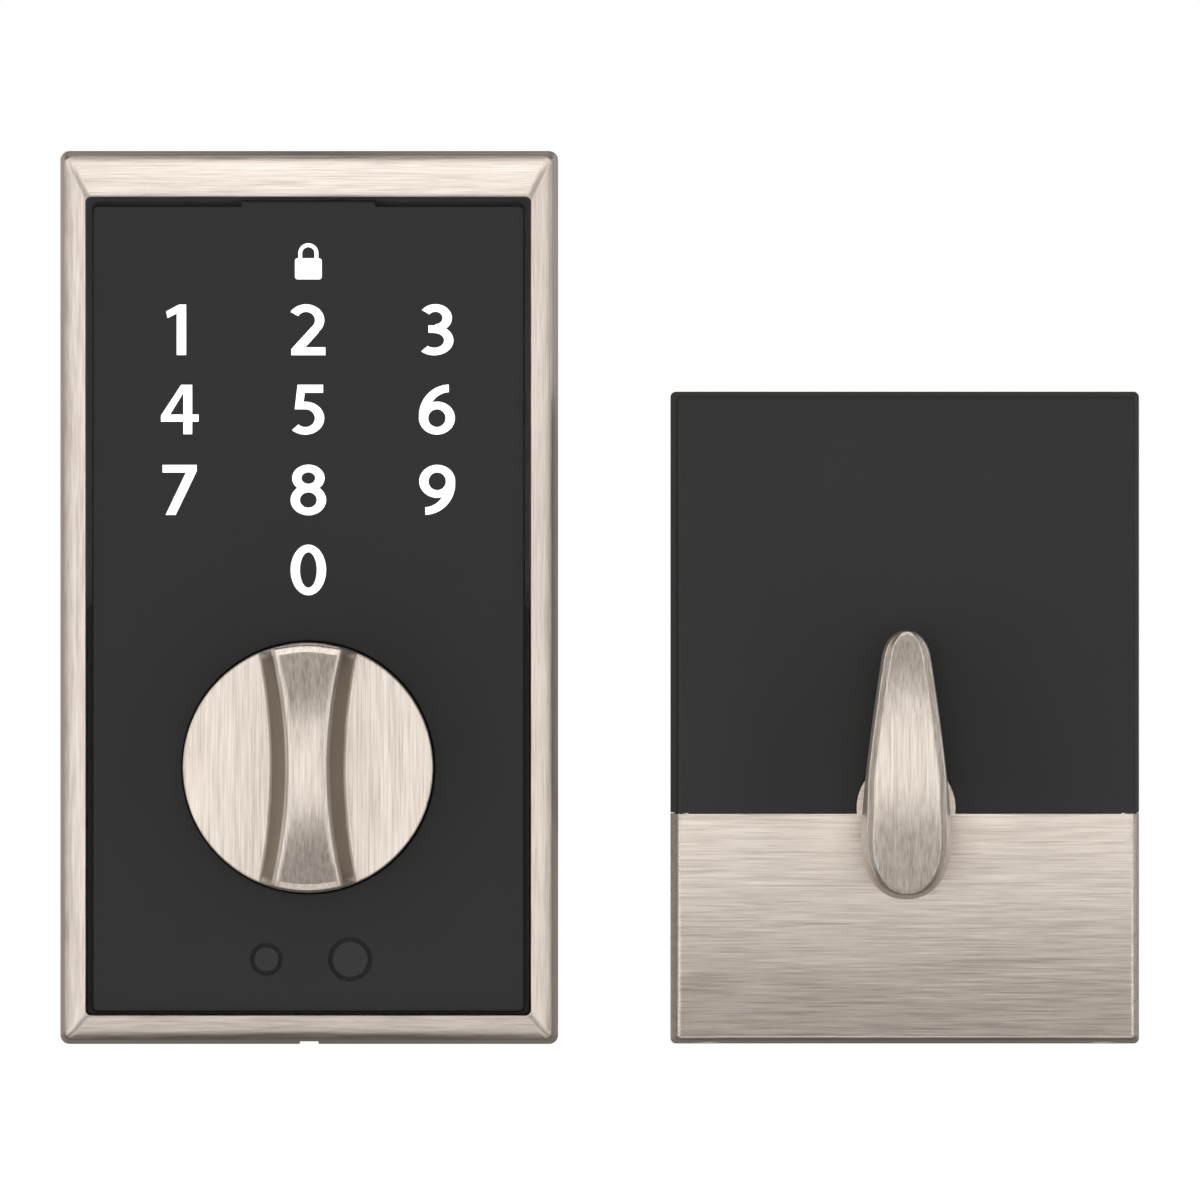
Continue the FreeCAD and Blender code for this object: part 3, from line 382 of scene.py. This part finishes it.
def case_profile(low, high, window):
    """Stations of the case from the back edge round the front and back inside.

    A station is (half width, low z, high z, corner radius, y). The wall leans in by the draft, turns over
    a small round, climbs the bar, turns over the inner edge and runs back to the hollow inside. Each run
    goes evenly from one outline to the next, and its shares say how far along a station stands."""
    draft, wall, front_wall = 0.8 * MM, 2.2 * MM, 3.5 * MM
    corner, window_corner, hollow_corner = 1.3 * MM, 0.8 * MM, 1.0 * MM
    back_edge, rim_round, inner_drop = 0.15 * MM, 0.4 * MM, 0.35 * MM
    round_share, inner_share = 0.04, 0.95
    bar_y, back = low.y, high.y
    rim_y = bar_y + BAR_RISE
    outer = np.array([high.x, low.z, high.z, corner])
    lean = np.array([-1.0, 1.0, -1.0, -0.3])
    rim = outer + lean * draft
    opening = np.array([*window, window_corner])
    hollow = np.array([high.x - wall, low.z + wall, high.z - wall, hollow_corner])

    def run(first, last, share, y):
        share = np.asarray(share, float)[:, None]
        return np.hstack([first + (last - first) * share, np.asarray(y, float)[:, None]])

    wall_y = back - np.array([5.0 * MM, NOTCH_LENGTH - NOTCH_EDGE, NOTCH_LENGTH + NOTCH_EDGE, 15.0 * MM])
    turn = bend((0, rim_y + rim_round), (0, rim_y), (round_share, bar_height(round_share, bar_y)), 7)
    shares = round_share + (inner_share - round_share) * np.linspace(0, 1, 25)[1:-1] ** 1.5
    edge = bend((inner_share, bar_height(inner_share, bar_y)), (1, bar_y), (1, bar_y + inner_drop), 7)
    lead_in = rim_round / (back - rim_y)
    return np.concatenate([
        run(outer, rim, [back_edge / draft, 0], [back, back - back_edge]),
        run(outer, rim, (back - wall_y) / (back - rim_y), wall_y),
        run(outer, rim, [1 - lead_in], [rim_y + rim_round]),
        run(rim, opening, turn[1:, 0], turn[1:, 1]),
        run(rim, opening, shares, bar_height(shares, bar_y)),
        run(rim, opening, edge[:, 0], edge[:, 1]),
        run(opening, hollow, [0, 1], [bar_y + front_wall, bar_y + front_wall]),
        run(hollow, outer, [0, back_edge / wall], [back - back_edge, back]),
    ])


def rounded_outlines(stations, steps=8):
    """Each station's rectangle with round corners, anticlockwise from the right side.

    A corner's points are its centre plus the radius times (cos, sin). Five more points stand on the lower
    side, where the notch is."""
    half_x, low, high, radius, y = (column[:, None] for column in stations.T)
    turn = np.linspace(0, np.pi / 2, steps + 1)
    notch_end = NOTCH_HALF + NOTCH_EDGE
    notch = np.array([-notch_end, -NOTCH_HALF, 0.0, NOTCH_HALF, notch_end])
    corners = ((1, high, 1), (-1, high, 1), (-1, low, -1), (1, low, -1))
    xs, zs = [], []
    for side, (out_x, end_z, out_z) in enumerate(corners):
        angle = turn + side * np.pi / 2
        xs.append(out_x * (half_x - radius) + radius * np.cos(angle))
        zs.append(end_z - out_z * radius + radius * np.sin(angle))
        if side == 2:
            xs.append(notch + 0 * low)
            zs.append(low + 0 * notch)
    x, z = np.concatenate(xs, axis=1), np.concatenate(zs, axis=1)
    return np.stack([x, y + 0 * x, z], -1)


def case_grain(points, faces):
    """UV in metres: along the bar that a face belongs to, and across it. Bars part at 45 degrees.

    A face belongs to a side bar where it is nearer to a side of the case than to an end."""
    flat = points.reshape(-1, 3)
    corner = flat[faces]
    centre, low, high = corner.mean(axis=1), flat.min(axis=0), flat.max(axis=0)
    from_side = np.minimum(centre[:, 0] - low[0], high[0] - centre[:, 0])
    from_end = np.minimum(centre[:, 2] - low[2], high[2] - centre[:, 2])
    level = (from_side >= from_end)[:, None]
    along = np.where(level, corner[..., 0], corner[..., 2])
    across = np.where(level, corner[..., 2], corner[..., 0])
    return np.stack([along, across + corner[..., 1] + 0.5 * level], -1)


def make_case():
    """Case of the outside unit: a grid of every station's outline, so that the bars meet in mitres.

    The lower wall's points that stand inside the notch are lifted to its roof."""
    low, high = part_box("outside_escutcheon")
    panel_low, panel_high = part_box("touch_panel")
    side_gap, foot_gap, head_gap = 0.9 * MM, 0.49 * MM, 0.43 * MM
    window = (panel_high.x + side_gap, panel_low.z - foot_gap, panel_high.z + head_gap)
    points = rounded_outlines(case_profile(low, high, window))
    roof, rounding = low.z + NOTCH_DEPTH, 1e-9
    in_notch = (np.abs(points[..., 0]) <= NOTCH_HALF + rounding) & (points[..., 2] < roof)
    in_notch &= points[..., 1] > high.y - NOTCH_LENGTH
    points[..., 2] = np.where(in_notch, roof, points[..., 2])
    faces = grid_faces(*points.shape[:2], close_rows=True, close_columns=True)
    grain = case_grain(points, faces)
    piece = mesh_piece("case", points.reshape(-1, 3), faces.tolist(), CASE_NICKEL, grain)
    weld(piece, reach=2e-6, angle=35)
    stand_for(piece, "lock_frame", "outside_escutcheon")


# ------------------------------------------------------------------ turn knob
KNOB_CROWN = 7.0 * MM
KNOB_CROWN_R = 88.0 * MM
GRIP_END_Z = 15.8 * MM


def knob_sections(z):
    """Right halves of the knob's cross-sections at heights z, as (distance from the middle, rise).

    The grip's half widths are a waist plus a share of the square of z, and its crown is an arc. The crown
    breaks over a shallow facet and a steep one into the wall, which meets the level wing in a hollow
    fillet. Each break is a bend that starts and ends at a share of the two facets."""
    z = z[:, None]
    swell = (z / GRIP_END_Z) ** 2
    crown = KNOB_CROWN - (KNOB_CROWN_R - np.sqrt(KNOB_CROWN_R ** 2 - z ** 2))
    shoulder_drop, brow_drop, fillet_rise, root_out = 0.16 * MM, 0.78 * MM, 1.25 * MM, 0.22 * MM
    crown_w = (2.05 + 1.85 * swell) * MM
    shoulder_w = (2.65 + 1.85 * swell) * MM
    brow_w = (3.2 + 1.8 * swell) * MM
    base_w = (4.8 + 1.57 * swell) * MM
    foot_w = (5.95 + 1.45 * swell) * MM

    def spot(width, rise):
        return np.concatenate([width, rise + 0 * width], axis=1)

    def between(first, last, share):
        return first + (last - first) * share

    middle, crown_edge = spot(0 * crown_w, crown), spot(crown_w, crown)
    shoulder, brow = spot(shoulder_w, crown - shoulder_drop), spot(brow_w, crown - brow_drop)
    base, root, foot = spot(base_w, fillet_rise), spot(base_w + root_out, 0), spot(foot_w, 0)
    top = between(middle[:, None], crown_edge[:, None], np.linspace(0, 1, 7)[:-1, None])
    first_bend = bend(between(crown_edge, middle, 0.06), crown_edge, between(crown_edge, shoulder, 0.45), 5)
    second_bend = bend(between(shoulder, crown_edge, 0.3), shoulder, between(shoulder, brow, 0.3), 5)
    third_bend = bend(between(brow, shoulder, 0.4), brow, between(brow, base, 0.08), 5)
    steep = between(brow[:, None], base[:, None], np.linspace(0.08, 1, 8)[1:-1, None])
    fillet = bend(base, root, foot, 10)
    return np.concatenate([top, first_bend, second_bend, third_bend, steep, fillet], axis=1)


def mark_shaded_walls(piece, inside):
    """Writes the "wall" attribute: 1 where a point's normal lies along X, within the given radius.

    It fades out over a short range of the normal and over a narrow ring outside the radius. The knob's
    material paints shade where it is high."""
    steep_from, steep_range, ring = 0.80, 0.12, 0.6 * MM
    count = len(piece.data.vertices)
    spots, normals = np.empty(count * 3), np.empty(count * 3)
    piece.data.vertices.foreach_get("co", spots)
    piece.data.vertices.foreach_get("normal", normals)
    spots, normals = spots.reshape(-1, 3), normals.reshape(-1, 3)
    steep = np.clip((np.abs(normals[:, 0]) - steep_from) / steep_range, 0, 1)
    near = np.clip((inside + ring - np.hypot(spots[:, 0], spots[:, 2])) / ring, 0, 1)
    piece.data.attributes.new("wall", "FLOAT", "POINT").data.foreach_set("value", steep * near)


def make_knob():
    """Turn knob: rows of cross-sections along Z, cut off at the rim circle and rounded over there.

    The rows stand at the radius times the sine of even steps. Outside the foot the rise is 0, and the
    columns close up towards the rim with 1 - (1 - share) squared. The edge's quarter round and the
    sloping bevel inside it grow with the rise, so that the crown's two ends are soft."""
    row_count, wing_columns, wall_margin = 221, 30, 1.2 * MM
    low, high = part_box("turn_knob")
    knob_r = high.x
    wing_y = low.y + KNOB_CROWN
    wing_round, crown_round = 0.25 * MM, 0.55 * MM
    bevel_width, bevel_slope = 1.6 * MM, 0.19
    z = knob_r * np.sin(np.linspace(-np.pi / 2, np.pi / 2, row_count))
    reach = np.sqrt(np.clip(knob_r ** 2 - z ** 2, 0, None))
    section = knob_sections(z)
    outward = np.linspace(0, 1, wing_columns)[1:]
    foot = np.minimum(section[:, -1, 0], reach)
    to_rim = foot[:, None] + (reach - foot)[:, None] * (1 - (1 - outward) ** 2)
    x = np.concatenate([np.minimum(section[..., 0], reach[:, None]), to_rim], axis=1)
    rise = np.stack([np.interp(row_x, *row.T) for row_x, row in zip(x, section)])
    high_share = rise / KNOB_CROWN
    edge_round = wing_round + (crown_round - wing_round) * high_share
    inward = np.clip(knob_r - np.hypot(x, z[:, None]), 0, None)
    rise = rise - bevel_slope * np.clip(bevel_width * high_share - inward, 0, None)
    inward = np.minimum(inward, edge_round)
    rise = rise - (edge_round - np.sqrt(edge_round ** 2 - (edge_round - inward) ** 2))
    half = np.stack([x, wing_y - rise, z[:, None] + 0 * x], -1)
    front = np.concatenate([half[:, ::-1] * [-1, 1, 1], half[:, 1:]], axis=1)
    rows, columns = front.shape[:2]
    index = np.arange(rows * columns).reshape(rows, columns)
    rim = np.concatenate([index[:, -1], index[::-1, 0]])
    points = front.reshape(-1, 3)
    back = points[rim] * [1, 0, 1] + [0, high.y, 0]
    points = np.concatenate([points, back])
    behind = rows * columns + np.arange(len(rim))
    wall = np.stack([rim, np.roll(rim, -1), np.roll(behind, -1), behind], -1)
    faces = grid_faces(rows, columns).tolist() + wall.tolist() + [behind.tolist()]
    piece = mesh_piece("knob", points, faces, KNOB_NICKEL)
    weld(piece, reach=4e-6, angle=40)
    # Marks the grip's steep walls, where the knob's material paints shade.
    mark_shaded_walls(piece, knob_r - wall_margin)
    stand_for(piece, "knob", "turn_knob")


# ------------------------------------------------------------------ thumbturn lever
# Heights above the lever's axis and a radius, in millimetres.
LEVER_TOP, LEVER_FOOT, LEVER_WIDEST = 25.3, -12.86, -4.0
LEVER_CROWN_Z, LEVER_CROWN_R, LEVER_STRAIGHT = 7.7, 110.0, -3.6


def lever_half_width(z):
    """Half width of the lever's foot outline at z above its axis, in millimetres.

    Below the widest place it is a quarter of a superellipse. Above, it narrows with a power of the height,
    and a superelliptic cap closes the tip."""
    half, cap_from, taper, taper_height = 6.42, 21.3, 3.2, 27.0
    foot_power, taper_power, cap_power = 2.25, 1.35, 2.3
    below = np.clip((LEVER_WIDEST - z) / (LEVER_WIDEST - LEVER_FOOT), 0, 1)
    above = np.clip((z - LEVER_WIDEST) / taper_height, 0, None)
    cap = np.clip((z - cap_from) / (LEVER_TOP - cap_from), 0, 1)
    lower = half * (1 - below ** foot_power) ** (1 / foot_power)
    upper = (half - taper * above ** taper_power) * (1 - cap ** cap_power) ** (1 / cap_power)
    return np.where(z < LEVER_WIDEST, lower, upper)


def lever_crown(z):
    """How far the face lies behind the crown's highest line at z.

    It is an arc round the height LEVER_CROWN_Z, which runs on straight below LEVER_STRAIGHT."""
    bent = np.maximum(z, LEVER_STRAIGHT)
    drop = LEVER_CROWN_R - np.sqrt(LEVER_CROWN_R ** 2 - (bent - LEVER_CROWN_Z) ** 2)
    slope = (LEVER_CROWN_Z - LEVER_STRAIGHT) / LEVER_CROWN_R
    return drop + slope * (bent - z)


def make_lever():
    """Lever: its outline, drawn in along its own normals, is carried up a leaning wall, over a narrow
    round, across a sloping strip that is wide at the sides and thin at the ends, and over the face.

    The wall leans in more towards the foot. The face is the crown's arc along Z, with a slight arch
    across: the square of the share of the way out from the middle line."""
    low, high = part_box("thumbturn_lever")
    back_inset, back_edge, edge_round, round_height, arch = 0.12, 0.15, 0.1, 0.25, 0.06
    lean_from, lean_range, wall_end, wall_end_drop = 6.0, 9.0, 0.92, 0.9
    strip_share, drop_left = 0.9, 0.06
    turn = np.linspace(0, np.pi, 121)
    middle, half = (LEVER_TOP + LEVER_FOOT) / 2, (LEVER_TOP - LEVER_FOOT) / 2
    z = middle + half * np.cos(turn)
    x = lever_half_width(z)
    x[0] = x[-1] = 0.0
    outline = np.concatenate([np.stack([x, z], -1), np.stack([-x, z], -1)[-2:0:-1]])
    along = np.roll(outline, -1, axis=0) - np.roll(outline, 1, axis=0)
    normal = np.stack([-along[:, 1], along[:, 0]], -1) / np.linalg.norm(along, axis=1)[:, None]
    sideways = normal[:, 0] ** 2
    back_y, front_y = high.y / MM, low.y / MM

    def ring(inset, y=None, lift=0.0, share=1.0):
        """One loop: inset from the outline, at y or lift behind the crown; share 0 is the middle line."""
        px, pz = (outline - normal * np.asarray(inset)[..., None]).T
        level = front_y + lever_crown(pz) + lift if y is None else y + 0 * pz
        return np.stack([px * share, level, pz], -1)

    low_share = np.clip((lean_from - outline[:, 1]) / lean_range, 0, 1)
    wall_lean = 0.24 + 0.42 * low_share ** 2 * (3 - 2 * low_share)
    strip_drop = 0.10 + 0.72 * sideways
    strip = 0.22 + 0.88 * sideways
    rings = [ring(back_inset, back_y, share=0.0), ring(back_inset, back_y), ring(0.0, back_y - back_edge)]
    rings.append(ring(wall_lean * wall_end, lift=strip_drop + wall_end_drop))
    for t in np.linspace(0, 1, 5):
        lift = arch + strip_drop + round_height * (1 - t) ** 2
        rings.append(ring(wall_lean + edge_round * t ** 2, lift=lift))
    for t in np.linspace(0, 1, 6)[1:]:
        inset = wall_lean + edge_round + (strip * strip_share - edge_round) * t
        rings.append(ring(inset, lift=arch + strip_drop * (1 - (1 - drop_left) * t)))
    face_share = 1 - strip_share
    for t in np.linspace(0, 1, 5)[1:]:
        inset = wall_lean + strip * (strip_share + 2 * face_share * t)
        rings.append(ring(inset, lift=arch + strip_drop * drop_left * (1 - t) ** 2))
    for share in (0.82, 0.62, 0.42, 0.2, 0.0):
        rings.append(ring(wall_lean + strip * (1 + face_share), lift=arch * share ** 2, share=share))
    points = np.array(rings) * MM + [(low.x + high.x) / 2, 0, high.z - LEVER_TOP * MM]
    faces = grid_faces(*points.shape[:2], close_columns=True)
    piece = mesh_piece("lever", points.reshape(-1, 3), faces.tolist(), LEVER_NICKEL)
    weld(piece, reach=4e-6, angle=40)
    stand_for(piece, "thumbturn", "thumbturn_lever")


def make_pin_spring():
    """Coil spring of round wire: a circle carried along a helix, drawn in to a point at each end.

    The helix is (r cos a, y rising evenly with a, r sin a). The circle lies in the plane of the coil's
    radius and the Y axis, nearly square to the wire."""
    low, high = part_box("dog_pin_spring")
    wire_r, turns, steps, sides = 0.15 * MM, 3.2, 160, 10
    coil_r = (high.x - low.x) / 2 - wire_r
    middle_x, middle_z = (low.x + high.x) / 2, (low.z + high.z) / 2
    share = np.linspace(0, 1, steps)[:, None]
    turn = 2 * np.pi * turns * share
    around = np.linspace(0, 2 * np.pi, sides, endpoint=False)[None, :]
    from_end = np.minimum(share, 1 - share) * 2 * np.pi * turns * coil_r
    section_r = np.sqrt(np.clip(1 - (1 - np.clip(from_end / wire_r, 0, 1)) ** 2, 0, 1)) * wire_r
    radius = coil_r + section_r * np.cos(around)
    y = low.y + wire_r + (high.y - low.y - 2 * wire_r) * share + section_r * np.sin(around)
    points = np.stack([middle_x + radius * np.cos(turn), y, middle_z + radius * np.sin(turn)], -1)
    faces = grid_faces(steps, sides, close_columns=True)
    piece = mesh_piece("pin_spring", points.reshape(-1, 3), faces.tolist(), FINISHES["spring_steel"])
    weld(piece, reach=2e-6, angle=60)
    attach(piece, "tailpiece")
    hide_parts("dog_pin_spring")
    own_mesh(piece)


# ------------------------------------------------------------------ studio
FRAME_MIDDLE_X, FRAME_MIDDLE_Z = 41.35 * MM, 23.74 * MM
FRAME_WIDTH, FRAME_PLANE_Y = 170.1 * MM, -21.0 * MM
LIGHT_AIM = Vector((0.0413, -0.03, 0.0237))
WARM = rgb(1.0, 0.93, 0.83)
WHITE = rgb(1.0, 1.0, 1.0)


def make_floor():
    """Pale level floor under the object. It doesn't mirror in the metal or shade the low light."""
    half, level, glow = 1.6, -0.16, 0.72
    square = np.array([[-half, -half], [half, -half], [half, half], [-half, half]])
    corners = np.insert(square, 2, level, axis=1)
    g = Graph("pale floor")
    cloud = g.noise(g.place((3, 3, 3)), detail=1.0)
    finish = g.finish({"Base Color": g.mix(cloud, rgb(0.88, 0.88, 0.88), rgb(0.90, 0.90, 0.90)),
                       "Roughness": 0.9, "Specular IOR Level": 0.1, "Emission Color": WHITE,
                       "Emission Strength": glow})
    floor = mesh_piece("floor", corners, [[0, 1, 2, 3]], finish)
    floor.visible_glossy = False
    floor.visible_shadow = False


def soft_light(name, place, size, power):
    """Rectangular soft light that faces the object: place and size in metres, power in watts."""
    light = bpy.data.lights.new(name, "AREA")
    light.shape = "RECTANGLE"
    light.size, light.size_y = size
    light.energy = power
    lamp = bpy.data.objects.new(name, light)
    bpy.context.scene.collection.objects.link(lamp)
    lamp.location = place
    lamp.rotation_euler = (LIGHT_AIM - Vector(place)).to_track_quat("-Z", "Y").to_euler()
    lamp.visible_camera = False


def make_world():
    """White behind the object, and an even dim warm tone all round it in its reflections and shades."""
    world = bpy.data.worlds.new("studio")
    bpy.context.scene.world = world
    world.use_nodes = True
    nodes, links = world.node_tree.nodes, world.node_tree.links
    around = nodes["Background"]
    around.inputs["Color"].default_value = WARM
    around.inputs["Strength"].default_value = 0.16
    behind = nodes.new("ShaderNodeBackground")
    behind.inputs["Color"].default_value = WHITE
    path, either = nodes.new("ShaderNodeLightPath"), nodes.new("ShaderNodeMixShader")
    links.new(path.outputs["Is Camera Ray"], either.inputs["Fac"])
    links.new(around.outputs["Background"], either.inputs[1])
    links.new(behind.outputs["Background"], either.inputs[2])
    links.new(either.outputs["Shader"], nodes["World Output"].inputs["Surface"])


def make_lights():
    """A large softbox in front, one above and one below it, a tall one to each side of the front, one
    overhead and one on each side at the back."""
    soft_light("front", (0.0413, -2.2, 0.0), (1.3, 0.74), 4.65)
    soft_light("above", (0.04, -1.6, 1.17), (1.4, 0.66), 5.2)
    soft_light("below", (0.04, -1.3, -1.25), (1.4, 0.7), 3.0)
    soft_light("left", (-1.15, -1.15, 0.1), (0.9, 2.2), 10.0)
    soft_light("right", (1.2, -1.1, 0.1), (0.45, 2.2), 8.0)
    soft_light("overhead", (0.04, 0.2, 1.9), (1.4, 0.9), 4.5)
    soft_light("behind, left", (-1.95, 0.8, 0.6), (0.9, 1.6), 6.0)
    soft_light("behind, right", (1.95, 0.8, 0.6), (0.9, 1.6), 6.0)


def make_camera():
    """Very long lens, far off, that looks level along +Y and takes in FRAME_WIDTH at FRAME_PLANE_Y."""
    data = bpy.data.cameras.new("camera")
    data.lens, data.sensor_width = 1200.0, 36.0
    data.clip_end = 20.0
    distance = FRAME_WIDTH * data.lens / data.sensor_width
    camera = bpy.data.objects.new("camera", data)
    bpy.context.scene.collection.objects.link(camera)
    camera.location = (FRAME_MIDDLE_X, FRAME_PLANE_Y - distance, FRAME_MIDDLE_Z)
    camera.rotation_euler = (math.pi / 2, 0, 0)
    bpy.context.scene.camera = camera


CASE_NICKEL = brushed_nickel("case nickel, grain along each bar", X, by_uv=True)
# The knob's material paints shade on the grip's steep walls.
KNOB_NICKEL = brushed_nickel("knob nickel, upright grain", Z, walls=True)
LEVER_NICKEL = brushed_nickel("lever nickel, upright grain", Z)

bpy.context.scene.view_settings.view_transform = "Standard"
make_camera()
make_world()
make_floor()
make_lights()
finish_cad_nodes()
make_case()
make_knob()
make_lever()
make_pin_spring()
